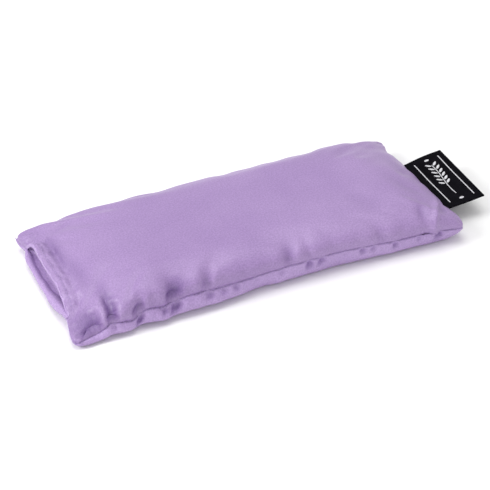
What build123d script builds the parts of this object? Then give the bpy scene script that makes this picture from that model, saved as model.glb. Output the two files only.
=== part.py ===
from build123d import *
import os
from dataclasses import dataclass, replace

# Eye pillow: a satin cover with a tucked mouth at one short end and a woven label in the
# seam at the other, round a loose seed-filled insert. Millimetres, +Z up, +X towards the
# label. The origin is the centre of the flat underside of the cover.

# ---- driving dimensions ----
HALF_LENGTH = 119.0  # cover, seam to seam, along X
HALF_WIDTH = 50.5  # cover, seam to seam, along Y
THICKNESS = 25.0  # cover at its crown
SEAM_HEIGHT = 10.0  # the cover's edge seam above the table
CROWN_DROP = 2.5  # how far the shoulders are below the crown
SECTION_RISE = 0.6  # the cross-section's crown is higher, so the profile shapes the top
SATIN = 0.5  # cover fabric
CALICO = 0.4  # insert bag fabric
THREAD = 0.4  # sewing thread, across
SEAM_GAP = 0.5  # between the two cover panels, where the thread lies
LAY_GAP = 0.1  # between plies that lie on each other

MOUTH_CENTRE = 3.0  # the mouth sits a little towards the back edge
MOUTH_WIDTH = 72.0
LIP_HEIGHT = 4.5  # lower lip of the mouth above the table
HEM_SETBACK = 4.0  # the upper lip stands this far in from the end seam
HEM_DEPTH = 8.0  # the turned edge behind the upper lip
ALLOWANCE_DEPTH = 5.5  # seam allowance, hanging inside the cover's wall
ALLOWANCE_PLY = 0.8  # two plies of satin pressed together

LABEL_WIDTH = 51.0
LABEL_LENGTH = 25.0  # from the seam to the fold
LABEL_CENTRE = -5.0  # the label sits a little towards the front edge
LABEL_PLY = 0.35
LABEL_TILT = 6.0  # degrees that the label stands up from level
LABEL_TAIL = 4.6  # sewn in behind the seam
YARN = 0.08  # how far the pattern yarn stands proud

STITCH_PITCH = 3.0
STITCH_LENGTH = 2.2

REACH = 400.0  # longer than the pillow, for cutting blocks

# ---- worked out from them ----
MOUTH_LOW = MOUTH_CENTRE - MOUTH_WIDTH / 2
MOUTH_HIGH = MOUTH_CENTRE + MOUTH_WIDTH / 2
HEM_EDGE = -HALF_LENGTH + HEM_SETBACK
HINGE_X = HALF_LENGTH + 0.6  # where the label bends, just outside the end seam
LABEL_HALF = LABEL_PLY + LAY_GAP / 2  # half of the folded label's thickness


@dataclass
class Lens:
    """A pillow outline seen side-on: flat floor, rounded lower edges, shoulders, crown."""

    low: float
    high: float
    low_run: float
    high_run: float
    floor: float = 0.0
    crown: float = THICKNESS

    def inset(self, by):
        return replace(
            self,
            low=self.low + by,
            high=self.high - by,
            floor=self.floor + by,
            crown=self.crown - by,
        )

    def face(self, plane):
        radius = SEAM_HEIGHT - self.floor
        shoulder = self.crown - CROWN_DROP
        left, right = self.low + self.low_run, self.high - self.high_run
        seam_left, seam_right = (self.low, SEAM_HEIGHT), (self.high, SEAM_HEIGHT)
        floor_left = (self.low + radius, self.floor)
        floor_right = (self.high - radius, self.floor)
        top = ((left + right) / 2, self.crown)
        with BuildSketch(plane) as outline:
            with BuildLine():
                Line(floor_left, floor_right)
                RadiusArc(floor_right, seam_right, -radius)
                RadiusArc(floor_left, seam_left, radius)
                crown = ThreePointArc((left, shoulder), top, (right, shoulder))
                TangentArc(crown @ 1, seam_right, tangent=crown % 1)
                TangentArc(crown @ 0, seam_left, tangent=(crown % 0) * -1)
            make_face()
        return outline.sketch


@dataclass
class Pouch:
    """A pillow-shaped body: what its long profile and its cross-section have in common."""

    profile: Lens
    section: Lens

    def solid(self, inset=0.0):
        along = extrude(self.profile.inset(inset).face(Plane.XZ), REACH / 2, both=True)
        across = extrude(self.section.inset(inset).face(Plane.YZ), REACH / 2, both=True)
        return along & across

    def shell(self, outer, inner):
        return self.solid(outer) - self.solid(inner)

    def top_at(self, x):
        """Height of the top surface at x, on the pillow's centre line."""
        column = Edge.make_line((x, 0, SEAM_HEIGHT), (x, 0, THICKNESS + 1))
        inside = column & self.profile.face(Plane.XZ)
        return inside.edges()[0].bounding_box().max.Z


COVER = Pouch(
    profile=Lens(-HALF_LENGTH, HALF_LENGTH, 34.0, 26.0),
    section=Lens(-HALF_WIDTH, HALF_WIDTH, 16.5, 16.5, crown=THICKNESS + SECTION_RISE),
)

INSERT_LOW = -HALF_LENGTH + 12.5  # the insert stops short of the mouth
INSERT_HIGH = HALF_LENGTH - 6.0
INSERT_EDGE = HALF_WIDTH - 1.9
FLOOR = SATIN + 0.3  # the insert's own underside and crown
CROWN = THICKNESS - 1.1
INSERT = Pouch(
    profile=Lens(INSERT_LOW, INSERT_HIGH, 28.0, 28.0, FLOOR, CROWN),
    section=Lens(-INSERT_EDGE, INSERT_EDGE, 17.5, 17.5, FLOOR, CROWN + SECTION_RISE),
)


def slab(low, high):
    """A block between two corners."""
    size = [b - a for a, b in zip(low, high)]
    middle = [(a + b) / 2 for a, b in zip(low, high)]
    return Pos(*middle) * Box(*size)


def between(bottom, top):
    """Everything from one height to another."""
    return slab((-REACH, -REACH, bottom), (REACH, REACH, top))


# ---- satin cover ----
def label_slot():
    """Where the label's tail passes between the two panels."""
    clear = 0.3
    reach = LABEL_WIDTH / 2 + clear
    half_gap = LABEL_HALF + LAY_GAP
    return slab(
        (HINGE_X - LABEL_TAIL - clear, LABEL_CENTRE - reach, SEAM_HEIGHT - half_gap),
        (REACH, LABEL_CENTRE + reach, SEAM_HEIGHT + half_gap),
    )


def cover_top_panel():
    panel = COVER.shell(0, SATIN) & between(SEAM_HEIGHT + SEAM_GAP / 2, REACH)
    mouth = slab((-REACH, MOUTH_LOW, 0), (HEM_EDGE, MOUTH_HIGH, REACH))
    return panel - mouth - label_slot()


def cover_bottom_panel():
    panel = COVER.shell(0, SATIN) & between(-REACH, SEAM_HEIGHT - SEAM_GAP / 2)
    mouth = slab((-REACH, MOUTH_LOW, LIP_HEIGHT), (0, MOUTH_HIGH, REACH))
    return panel - mouth - label_slot()


def mouth_upper_hem():
    """The top panel's edge, turned under and stitched down."""
    margin = 0.5
    ply = SATIN + LAY_GAP
    strip = slab(
        (HEM_EDGE, MOUTH_LOW + margin, SEAM_HEIGHT + SEAM_GAP),
        (HEM_EDGE + HEM_DEPTH, MOUTH_HIGH - margin, REACH),
    )
    return COVER.shell(ply, ply + SATIN) & strip


def closure_flap():
    """Tucked in behind the mouth: it rises from the lower lip to behind the upper hem."""
    margin = 1.5
    foot = (-HALF_LENGTH + 2.25, LIP_HEIGHT + 0.3)
    bend = (-HALF_LENGTH + 7.2, LIP_HEIGHT + 3.0)
    tip = (-HALF_LENGTH + 10.2, SEAM_HEIGHT + 4.9)
    with BuildSketch(Plane.XZ) as band:
        with BuildLine():
            ThreePointArc(foot, bend, tip)
        trace(line_width=SATIN)
    half_width = MOUTH_WIDTH / 2 - margin
    return Pos(0, MOUTH_CENTRE, 0) * extrude(band.sketch, half_width, both=True)


def seam_allowances():
    """Two plies of satin hanging inside the wall, one strip behind each sewn edge."""
    outer = SATIN + LAY_GAP
    top = SEAM_HEIGHT - SEAM_GAP
    ring = COVER.shell(outer, outer + ALLOWANCE_PLY)
    ring &= between(top - ALLOWANCE_DEPTH, top)
    corner = 12.0
    inner_x, inner_y = HALF_LENGTH - corner, HALF_WIDTH - corner
    side = slab((-inner_x, -REACH, 0), (inner_x, 0, REACH))
    end = slab((inner_x, -inner_y, 0), (REACH, inner_y, REACH))
    return {
        "front_seam_allowance": ring & side,
        "back_seam_allowance": ring & mirror(side, Plane.XZ),
        "label_end_seam_allowance": ring & end,
    }


# ---- sewing thread ----
def thread(start, end):
    """One straight run of sewing thread."""
    run = Vector(*end) - Vector(*start)
    align = (Align.CENTER, Align.CENTER, Align.MIN)
    return Plane(origin=start, z_dir=run) * Cylinder(THREAD / 2, run.length, align=align)


def stitches(start, end):
    """A row of separate stitches between two points."""
    first = Vector(*start)
    run = Vector(*end) - first
    half = run.normalized() * (STITCH_LENGTH / 2)
    count = int(run.length / STITCH_PITCH)
    middles = [first + run * ((n + 0.5) / count) for n in range(count)]
    return Compound([thread(tuple(m - half), tuple(m + half)) for m in middles])


def cover_seam_threads():
    """The lockstitch between the two panels, along each sewn edge."""
    x_end, y_edge = HALF_LENGTH - SATIN / 2, HALF_WIDTH - SATIN / 2
    z = SEAM_HEIGHT
    corner = y_edge - 1.0  # where a row stops, short of the corner
    clear = 0.5
    label_low = LABEL_CENTRE - LABEL_WIDTH / 2 - clear
    label_high = LABEL_CENTRE + LABEL_WIDTH / 2 + clear

    def along(y):
        return thread((1.0 - x_end, y, z), (x_end - 1.0, y, z))

    def across(x, low, high):
        return thread((x, low, z), (x, high, z))

    return {
        "front_seam_thread": along(-y_edge),
        "back_seam_thread": along(y_edge),
        "label_end_thread_front": across(x_end, -corner, label_low),
        "label_end_thread_back": across(x_end, label_high, corner),
        "mouth_corner_thread_front": across(-x_end, -corner, MOUTH_LOW - clear),
        "mouth_corner_thread_back": across(-x_end, MOUTH_HIGH + clear, corner),
    }


def row_on_top(pouch, x, low, high):
    """A row of stitches across a pouch, lying on its top surface."""
    clear = THREAD / 2 + 0.2
    z = pouch.top_at(x) + clear
    return stitches((x, low, z), (x, high, z))


def mouth_hem_stitches():
    return row_on_top(COVER, HEM_EDGE + 2.0, MOUTH_LOW + 1, MOUTH_HIGH - 1)


# ---- woven label ----
def label_place():
    """Carries a piece made level at the hinge to its place on the pillow."""
    return Pos(HINGE_X, LABEL_CENTRE, SEAM_HEIGHT) * Rot(0, -LABEL_TILT, 0)


def woven_label():
    """A strip folded in half at its outer edge, with its root at the hinge."""
    turn = LABEL_LENGTH - LABEL_HALF
    with BuildSketch(Plane.XZ) as strip:
        with BuildLine():
            top = Line((0, LABEL_HALF), (turn, LABEL_HALF))
            bottom = Line((0, -LABEL_HALF), (turn, -LABEL_HALF))
            ThreePointArc(top @ 1, (LABEL_LENGTH, 0), bottom @ 1)
            Line(top @ 0, bottom @ 0)
        make_face()
        with Locations((turn / 2, 0)):
            Rectangle(turn, LAY_GAP, mode=Mode.SUBTRACT)
    return label_place() * extrude(strip.sketch, LABEL_WIDTH / 2, both=True)


def label_tail():
    """The label's two ends, caught in the end seam, clear of the root as it turns."""
    half = LABEL_WIDTH / 2
    end = 2 * LABEL_HALF + LAY_GAP  # leaves the label room to bend right over
    tail = slab((-LABEL_TAIL, -half, -LABEL_HALF), (-end, half, LABEL_HALF))
    return Pos(HINGE_X, LABEL_CENTRE, SEAM_HEIGHT) * tail


def label_ornament():
    """Raised pattern yarn on the label's face: a lavender sprig between two borders."""
    lift = LABEL_HALF + YARN / 2 + 0.01
    middle = LABEL_LENGTH / 2
    stem = Pos(middle, 0, lift) * Box(0.8, 30.0, YARN)
    pieces = [stem]
    for x in (4.0, LABEL_LENGTH - 4.0):
        pieces.append(Pos(x, 0, lift) * Box(0.8, LABEL_WIDTH - 8.0, YARN))
    bud_pairs, bud_pitch, bud_radius = 5, 4.0, 1.3
    for n in range(bud_pairs):
        y = 14.0 - n * bud_pitch
        for side in (-1, 1):
            x = middle + side * (bud_radius + 0.6)
            pieces.append(Pos(x, y, lift) * Cylinder(bud_radius, YARN))
    return label_place() * Compound(pieces)


# ---- insert ----
def insert_panels():
    shell = INSERT.shell(0, CALICO)
    half_gap = CALICO / 2
    return {
        "insert_top_panel": shell & between(SEAM_HEIGHT + half_gap, REACH),
        "insert_bottom_panel": shell & between(-REACH, SEAM_HEIGHT - half_gap),
    }


def insert_seam_thread():
    """The stitching round the insert's edge, in the gap between its panels."""
    half = CALICO / 2 - 0.03
    ring = INSERT.shell(CALICO / 2 - half, CALICO / 2 + half)
    return ring & between(SEAM_HEIGHT - half, SEAM_HEIGHT + half)


def insert_closing_stitches():
    """The filling gap at the insert's end, sewn shut from outside."""
    reach = 22.0
    return row_on_top(INSERT, INSERT_LOW + 2.0, -reach, reach)


def seed_fill():
    """The loose flax seed and dried herbs, taken together as the shape that they fill."""
    return INSERT.solid(CALICO + LAY_GAP)


def parts():
    nodes = {
        "cover_top_panel": cover_top_panel(),
        "cover_bottom_panel": cover_bottom_panel(),
        "mouth_upper_hem": mouth_upper_hem(),
        "mouth_hem_stitches": mouth_hem_stitches(),
        "closure_flap": closure_flap(),
        "woven_label": woven_label(),
        "label_tail": label_tail(),
        "label_ornament": label_ornament(),
        "insert_seam_thread": insert_seam_thread(),
        "insert_closing_stitches": insert_closing_stitches(),
        "seed_fill": seed_fill(),
    }
    nodes |= seam_allowances()
    nodes |= cover_seam_threads()
    nodes |= insert_panels()
    return nodes


def main():
    os.makedirs("parts", exist_ok=True)
    for name, shape in parts().items():
        export_step(shape, f"parts/{name}.step")


main()
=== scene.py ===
import math

import bpy
import numpy as np
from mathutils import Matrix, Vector
from mathutils.bvhtree import BVHTree


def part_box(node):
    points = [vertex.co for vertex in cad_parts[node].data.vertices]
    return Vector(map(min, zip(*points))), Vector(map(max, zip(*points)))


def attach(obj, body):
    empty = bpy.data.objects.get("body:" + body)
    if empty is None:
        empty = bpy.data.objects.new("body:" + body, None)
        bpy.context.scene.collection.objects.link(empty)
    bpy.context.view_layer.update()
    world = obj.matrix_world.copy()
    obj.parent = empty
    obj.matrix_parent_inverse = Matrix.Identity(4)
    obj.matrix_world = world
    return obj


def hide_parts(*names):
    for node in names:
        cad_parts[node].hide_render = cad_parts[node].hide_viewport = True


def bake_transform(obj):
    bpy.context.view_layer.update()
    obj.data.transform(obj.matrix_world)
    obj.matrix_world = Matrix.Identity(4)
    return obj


# A satin eye pillow on a pale table. Its cover is two panels that share their seam lines,
# with a mouth at one end and a folded label at the other, and a calico bag of flax inside.
# Shapes are worked out in millimetres on grids of places: x from the mouth to the label, y
# from front to back, z up. They become metres when a grid is made a mesh.
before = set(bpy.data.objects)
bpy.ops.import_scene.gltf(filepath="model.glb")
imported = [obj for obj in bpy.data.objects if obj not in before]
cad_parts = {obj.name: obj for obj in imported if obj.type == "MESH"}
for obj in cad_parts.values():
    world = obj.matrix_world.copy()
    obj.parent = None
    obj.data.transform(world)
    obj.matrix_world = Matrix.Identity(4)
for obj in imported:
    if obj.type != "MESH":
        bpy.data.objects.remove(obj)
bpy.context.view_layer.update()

MM = 0.001
SEED = 11  # of every random draw


def in_mm(node):
    """Lowest and highest corner of a CAD node, in millimetres."""
    return [np.array(corner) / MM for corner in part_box(node)]


bottom_low, bottom_high = in_mm("cover_bottom_panel")
_, top_high = in_mm("cover_top_panel")
hem_low, hem_high = in_mm("mouth_upper_hem")
label_low, label_high = in_mm("woven_label")

HALF_LENGTH = (bottom_high[0] - bottom_low[0]) / 2
HALF_WIDTH = bottom_high[1]
CROWN = top_high[2]
COVER_SPAN = (-HALF_LENGTH, HALF_LENGTH)
COLUMNS, ROWS = 190, 62  # steps along and across each cover panel
COVER_DROP = 0.6  # the cover's top before it is gathered, below the crown
INSERT_SPAN = (-105.5, 113.2)
INSERT_COLUMNS, INSERT_ROWS = 130, 44
INSERT_DROP = 2.2
INSERT_FLOOR = 1.0  # the insert's underside, above the table
TOP_ROOM, BOTTOM_ROOM = 1.3, 1.5  # from the cover's outside down to each panel of the insert
SATIN = 0.4  # cover fabric's thickness
CALICO = 0.35
THREAD = 0.3  # sewing thread, across
STITCH_PITCH, STITCH_LENGTH = 2.6, 2.3  # in the cover's seams
MOUTH_LOW, MOUTH_HIGH = hem_low[1], hem_high[1]
LABEL_MIDDLE = (label_low[1] + label_high[1]) / 2
LABEL_WIDTH = label_high[1] - label_low[1]


# ---- helpers ----
def through(points, at):
    """A smooth curve through a few (place, value) points."""
    places, values = np.array(points, float).T
    slopes = np.gradient(values, places)
    at = np.asarray(at, float)
    k = np.clip(np.searchsorted(places, at) - 1, 0, len(places) - 2)
    span = places[k + 1] - places[k]
    u = np.clip((at - places[k]) / span, 0, 1)
    return (
        (2 * u**3 - 3 * u**2 + 1) * values[k]
        + (u**3 - 2 * u**2 + u) * span * slopes[k]
        + (3 * u**2 - 2 * u**3) * values[k + 1]
        + (u**3 - u**2) * span * slopes[k + 1]
    )


def swell(distance, run, power):
    """Rises from 0 at an edge to 1 at run, steepest at the edge, level at the end."""
    left = 1 - np.clip(distance / run, 0, 1)
    return (1 - left**power) ** (1 / power)


def belly(risen):
    """0 at the seam and where the panel has risen fully, 1 halfway."""
    return 4 * risen * (1 - risen)


def band(at, middle, width):
    """1 at the middle, fading to 0 on both sides of it."""
    return np.exp(-(((at - middle) / width) ** 2))


def smooth(low, high, at):
    """From 0 at low to 1 at high, level at both."""
    u = np.clip((np.asarray(at, float) - low) / (high - low), 0, 1)
    return u * u * (3 - 2 * u)


def waves(at, lengths, seed):
    """A few sines of different lengths added up: an uneven, repeatable wander."""
    draw = np.random.default_rng(seed)
    phases = draw.uniform(0, 2 * math.pi, len(lengths))
    return sum(np.sin(2 * math.pi * at / n + p) for n, p in zip(lengths, phases)) / len(lengths)


def lumps(x, y, size, seed):
    """Soft uneven swellings about size across, from -1 to 1."""
    draw = np.random.default_rng(seed)
    total = np.zeros_like(x)
    count = 7
    for _ in range(count):
        turn = draw.uniform(0, 2 * math.pi)
        length = size * draw.uniform(0.75, 1.5)
        along = x * math.cos(turn) + y * math.sin(turn)
        total += np.sin(2 * math.pi * along / length + draw.uniform(0, 2 * math.pi))
    return total / count


# ---- puckers ----
# Place along the seam, lean, width at the seam, reach, depth, and skew: at 1 the right side
# is steep and the left side long, at -1 the other way round.
FRONT_PUCKERS = [
    (-112, -0.05, 2.2, 10, 0.5, 0),
    (-105.2, -0.16, 5.2, 26, 4.8, 0.85),
    (-96.5, 0.0, 3.2, 42, 3.7, -0.5),
    (-89, 0.05, 1.8, 10, 0.5, 0),
    (-79.5, -0.06, 3.0, 13, 3.6, 0.7),
    (-72, -0.10, 2.0, 11, 1.0, 0),
    (-61, 0.14, 4.8, 21, 4.2, -0.6),
    (-51, 0.10, 2.0, 12, 0.8, 0),
    (-41, 0.30, 2.8, 20, 2.0, 0.5),
    (-30, 0.10, 2.2, 8, 0.4, 0),
    (-17, -0.12, 2.8, 12, 0.5, 0),
    (-4, 0.08, 2.4, 9, 0.4, 0),
    (9, 0.24, 3.4, 26, 1.8, 0.4),
    (22, -0.06, 2.4, 18, 1.0, 0.4),
    (36, 0.05, 3.0, 16, 0.5, 0),
    (52, 0.12, 2.4, 12, 0.4, 0),
    (66, -0.04, 3.6, 22, 1.0, -0.4),
    (80, 0.04, 2.4, 14, 0.5, 0),
]
FRONT_UNDER_PUCKERS = [
    (-96, 0.1, 1.6, 6, 1.0, 0), (-79, -0.5, 1.8, 8, 2.8, 0.6), (-66, 0.05, 1.4, 7, 3.0, 0.5),
    (-59.5, -0.3, 2.4, 9, 3.6, -0.6), (-50, 0.2, 1.4, 5, 0.8, 0), (-38, -0.3, 1.8, 7, 2.8, 0.6),
    (-31, 0.2, 1.5, 6, 2.0, 0.6), (-24, 0.2, 1.6, 6, 2.4, -0.5), (-11, -0.2, 1.5, 5, 1.0, 0),
    (4, 0.1, 2.0, 7, 1.2, 0), (22, 0.1, 1.7, 9, 3.2, 0.6), (29, -0.2, 1.8, 8, 3.0, -0.6),
    (43, 0.3, 1.6, 5, 1.0, 0), (55, 0.0, 1.5, 7, 2.8, 0.6), (62, -0.2, 1.4, 6, 2.2, 0.5),
    (75, -0.1, 1.6, 7, 2.4, -0.5), (90, 0.1, 1.7, 6, 1.4, 0), (104, -0.2, 2.0, 9, 2.4, 0.5),
]


# ---- where the cover's edges run ----
# Pairs of a place along the edge, and the height or place of the seam there.
FRONT_SEAM_HEIGHT = [
    (-119, 3.2), (-110, 4.0), (-104.5, 4.2), (-98.5, 7.6), (-90, 7.6), (-82.5, 7.0),
    (-78, 10.0), (-66, 9.4), (-62, 9.7), (-55, 11.3), (-30, 10.9), (5, 12.2),
    (30, 12.6), (52, 12.1), (72, 10.6), (100, 10.1), (112, 9.0), (119, 8.4),
]
BACK_SEAM_HEIGHT = [
    (-119, 8.0), (-112, 9.4), (-104, 9.8), (-80, 11.0), (-50, 11.4), (-10, 12.4), (30, 12.2),
    (70, 11.6), (100, 10.2), (119, 8.6),
]
# How far the seeds push the wall out below the front seam.
FRONT_WALL_SWELL = [
    (-119, 0.2), (-108, 3.6), (-92, 3.9), (-78, 3.6), (-66, 5.4), (-54, 4.2), (-34, 4.6),
    (-20, 2.9), (-6, 0.6), (4, 1.9), (18, 1.0), (50, 0.5), (75, 1.5), (100, 0.6), (119, 0.2),
]
MOUTH_EDGE_PLACE = [
    (-50.5, -118.4), (-46, -118.6), (-39, -117.6), (-30, -115.6), (-20, -115.6),
    (8, -116.2), (32, -115.9), (40, -115.6), (50.5, -118.8),
]
MOUTH_EDGE_HEIGHT = [
    (-50.5, 3.2), (-42, 5.2), (-33, 7.4), (-15, 7.6), (10, 7.4), (38, 7.2), (44, 5.8),
    (50.5, 7.0),
]
# How round the corners are: at the front by the mouth and the label, then at the back.
CORNERS = ((2.5, 4.0), (4.0, 3.0))
LIP_UP, LIP_IN = 4.9, 2.3  # the upper hem, from the closed mouth's line
LIP_DOWN, LIP_OUT = 3.3, 1.2  # the lower lip
HEM_STITCH_INLAND = 4.4
TOP_FOLD_SHADE_DEPTH, BOTTOM_FOLD_SHADE_DEPTH = 4.0, 2.2  # where the painted shade in a valley is darkest


def front_seam(x):
    """The long front seam, bowed in along its middle and drawn in at each pucker."""
    bow = 4.2 * (1 - np.abs(x / HALF_LENGTH) ** 2.2)
    y = -(HALF_WIDTH - 0.6 - bow) + 0.35 * waves(x, (37, 23, 61), SEED)
    for middle, _, width, _, deep, _ in FRONT_PUCKERS:
        y = y + 0.3 * deep * band(x, middle, width)
    return np.stack([x, y, through(FRONT_SEAM_HEIGHT, x)], -1)


def back_seam(x):
    """The long back seam, bowed in along its middle."""
    bow = 4.4 * (1 - np.abs(x / HALF_LENGTH) ** 2.2)
    y = HALF_WIDTH - bow + 0.5 * waves(x, (44, 29, 70), SEED + 1)
    return np.stack([x, y, through(BACK_SEAM_HEIGHT, x)], -1)


def label_end_seam(y):
    """The short seam that holds the label, bowed in, with an ear at its front corner."""
    share = y / HALF_WIDTH
    x = HALF_LENGTH - 1.2 * (1 - share**2) + 0.3 * waves(y, (19, 31), SEED + 2)
    x = x + 1.7 * band(y, -41, 5.5) - 2.2 * band(y, 36, 6.5)
    z = 9.4 + 0.5 * np.cos(share * math.pi / 2) - 0.7 * share**2
    return np.stack([x, y, z], -1)


def mouth_open(y):
    """How far the mouth gapes, from 0 at its sewn ends to 1 along its middle."""
    from_front = smooth(MOUTH_LOW, MOUTH_LOW + 26, y) ** 0.7
    from_back = smooth(MOUTH_HIGH, MOUTH_HIGH - 10, y) ** 0.8
    return from_front * from_back


def along_mouth(y, front, back):
    """1 along the mouth, fading to 0 between two places measured from each of its ends."""
    from_front = smooth(MOUTH_LOW + front[0], MOUTH_LOW + front[1], y)
    return from_front * smooth(MOUTH_HIGH + back[0], MOUTH_HIGH + back[1], y)


def mouth_end(y, lip):
    """The short edge with the mouth: lip is 1 along the upper hem, -1 along the lower lip."""
    x, z = through(MOUTH_EDGE_PLACE, y), through(MOUTH_EDGE_HEIGHT, y)
    gape = mouth_open(y)
    if lip > 0:
        return np.stack([x + LIP_IN * gape, y, z + LIP_UP * gape], -1)
    return np.stack([x - LIP_OUT * gape, y, z - LIP_DOWN * gape], -1)


INSERT_INSET = [(-119, 5), (-94, 5), (-82, 3.5), (-56, 3.5), (-30, 2.5), (119, 2.5)]
INSERT_MOUTH_HEIGHT = [(-50, 4.4), (-40, 4.9), (-26, 6.2), (0, 7.2), (50, 7.6)]


def insert_front(x):
    """The bag's edges follow the cover's, further in."""
    inset = through(INSERT_INSET, x)
    return front_seam(x) + np.stack([0 * x, inset, 0 * x], -1)


def insert_back(x):
    return back_seam(x) - np.array([0, 2.5, 0])


def insert_mouth_end(y):
    bow = 1.5 * (1 - (y / HALF_WIDTH) ** 2)
    return np.stack([INSERT_SPAN[0] + bow, y, through(INSERT_MOUTH_HEIGHT, y)], -1)


def insert_label_end(y):
    bow = 1.2 * (1 - (y / HALF_WIDTH) ** 2)
    return np.stack([INSERT_SPAN[1] - bow, y, 9.2 + 0 * y], -1)


def end_warp(count, even):
    """Steps from 0 to 1, closer together at both ends."""
    u = np.linspace(-1, 1, count + 1)
    return 0.5 + 0.5 * (even * u + (1 - even) * np.sin(u * math.pi / 2))


def rounded(grid, low, high, corners):
    """The grid with its four corners rounded, seen from above."""
    middle, half = (low + high) / 2, (high - low) / 2
    place = grid[..., :2] - middle
    label_end, back = place[..., :1] > 0, place[..., 1:] > 0
    (front_mouth, front_label), (back_mouth, back_label) = corners
    radius = np.where(
        back, np.where(label_end, back_label, back_mouth),
        np.where(label_end, front_label, front_mouth),
    )
    past = np.maximum(np.abs(place) - (half - radius), 0)
    longest = np.maximum(past.max(-1), 1e-9)
    scale = longest / np.maximum(np.linalg.norm(past, axis=-1), 1e-9)
    corner = (past.min(-1) > 0)[..., None]
    kept = np.sign(place) * (half - radius + past * scale[..., None])
    grid[..., :2] = middle + np.where(corner, kept, place)
    return grid


def patch(edges, span, columns, rows):
    """A grid drawn evenly between four edges, and each point's distance from the mouth end,
    the label end, the front and the back. Edges are front(x), back(x), left(y), right(y)."""
    front, back, left, right = edges
    s = end_warp(columns, 0.35)
    t = end_warp(rows, 0.02)
    length = span[1] - span[0]
    along = span[0] + s * length
    front_edge, back_edge = front(along), back(along)
    left_y = front_edge[0, 1] + (back_edge[0, 1] - front_edge[0, 1]) * t
    right_y = front_edge[-1, 1] + (back_edge[-1, 1] - front_edge[-1, 1]) * t
    left_edge, right_edge = left(left_y), right(right_y)
    for edge, first, last in (
        (front_edge, left_edge[0], right_edge[0]),
        (back_edge, left_edge[-1], right_edge[-1]),
    ):
        to_first, to_last = first - edge[0], last - edge[-1]
        edge += (1 - s)[:, None] ** 8 * to_first + s[:, None] ** 8 * to_last
    a, b = s[:, None, None], t[None, :, None]
    grid = (1 - b) * front_edge[:, None] + b * back_edge[:, None]
    grid = grid + (1 - a) * left_edge[None] + a * right_edge[None]
    grid = grid - (1 - a) * (1 - b) * left_edge[0] - (1 - a) * b * left_edge[-1]
    grid = grid - a * (1 - b) * right_edge[0] - a * b * right_edge[-1]
    low = np.array([span[0] + 1, front_edge[0, 1]])
    high = np.array([span[1], back_edge[0, 1]])
    grid = rounded(grid, low, high, CORNERS)
    from_left = s[:, None] * length + 0 * t[None]
    width = back_edge[columns // 2, 1] - front_edge[columns // 2, 1]
    from_front = t[None] * width + 0 * s[:, None]
    return grid, (from_left, length - from_left, from_front, width - from_front)


def grid_normals(grid):
    """Directions straight up out of a grid that runs along x and then along y."""
    along = np.gradient(grid, axis=0)
    across = np.gradient(grid, axis=1)
    normal = np.cross(along, across)
    return normal / np.maximum(np.linalg.norm(normal, axis=-1, keepdims=True), 1e-9)


def run_in(grid, axis, from_end):
    """Distance over the cloth from one edge of the grid, in millimetres."""
    steps = np.linalg.norm(np.diff(grid, axis=axis), axis=-1)
    if from_end:
        steps = np.flip(steps, axis)
    total = np.cumsum(steps, axis=axis)
    first = np.zeros_like(np.take(total, [0], axis=axis))
    total = np.concatenate([first, total], axis=axis)
    return np.flip(total, axis) if from_end else total


# ---- gathers, dents and folds ----
def scattered_puckers(low, high, pitch, reach, depth, seed):
    """Puckers at uneven places along a seam, none alike."""
    draw = np.random.default_rng(seed)
    place, made = low + pitch * 0.5, []
    while place < high:
        made.append((
            place, draw.uniform(-0.15, 0.15), pitch * draw.uniform(0.13, 0.24),
            reach * draw.uniform(0.5, 1.4), depth * draw.uniform(0.35, 1.4),
            draw.uniform(-0.6, 0.6),
        ))
        place += pitch * draw.uniform(0.65, 1.5)
    return made


def gathered(place, inland, puckers, held=2.2):
    """Depth of the valleys that run in from a gathered seam, with a rim beside each.
    The seam holds the cloth for the first stretch, held millimetres."""
    depth = np.zeros_like(place)
    place = place + 0.5 * waves(inland, (9.0, 5.3), SEED + 15) * smooth(0, 4, inland)
    for middle, lean, width, reach, deep, skew in puckers:
        u = np.clip(inland / reach, 0, 1)
        spread = width * (1 + 0.9 * u)
        off = (place - middle - lean * inland) / spread
        off *= 1 + 0.5 * skew * np.sign(off)
        fade = (1 - u) ** 2 * (1 + 2 * u) * smooth(-0.2, held, inland)
        depth += 1.35 * deep * fade * (1 - 0.7 * off**2) * np.exp(-(off**2))
    return depth


def dent(x, y, middle, size, turn=0.0):
    """A soft oval dent: 1 in its middle, fading to 0."""
    c, s = math.cos(turn), math.sin(turn)
    dx, dy = x - middle[0], y - middle[1]
    u = (dx * c + dy * s) / size[0]
    v = (-dx * s + dy * c) / size[1]
    return np.exp(-(u**2) - v**2)


def ridge(x, y, start, end, width):
    """A fold that stands up along a line: 1 on the line, fading to 0 beside and past it."""
    (ax, ay), (bx, by) = start, end
    length = math.hypot(bx - ax, by - ay)
    ux, uy = (bx - ax) / length, (by - ay) / length
    along = (x - ax) * ux + (y - ay) * uy
    across = (y - ay) * ux - (x - ax) * uy
    past = np.maximum(0, np.maximum(-along, along - length))
    return np.exp(-((across / width) ** 2) - (past / (2 * width)) ** 2)


# Middle, size, turn and depth; a negative depth is a bulge.
TOP_DENTS = [
    ((-105.5, 18), (4.2, 20), 0.05, 2.2),
    ((-101, -12), (4.6, 15), -0.1, 1.3),
    ((-93, 38), (6, 2.4), 0.1, 1.2),
    ((-101, 43), (11, 6), 0, -2.4),
    ((-112.5, 44), (5.5, 5), 0, -1.8),
    ((-107, -44), (4, 3), 0, -0.6),
    ((-60, 28), (16, 9), 0.5, 0.4),
    ((98, -14), (6, 20), 0.35, 1.0),
    ((107, 8), (5, 14), 0.1, 1.0),
    ((70, -22), (9, 14), 0.6, 0.8),
    ((20, 22), (22, 9), 0.3, 0.4),
    ((-20, -14), (16, 10), -0.3, 0.4),
    ((96, -41), (3.0, 7), -0.3, 1.6),
    ((111, -39), (3.2, 5), -0.3, 1.3),
]
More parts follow.
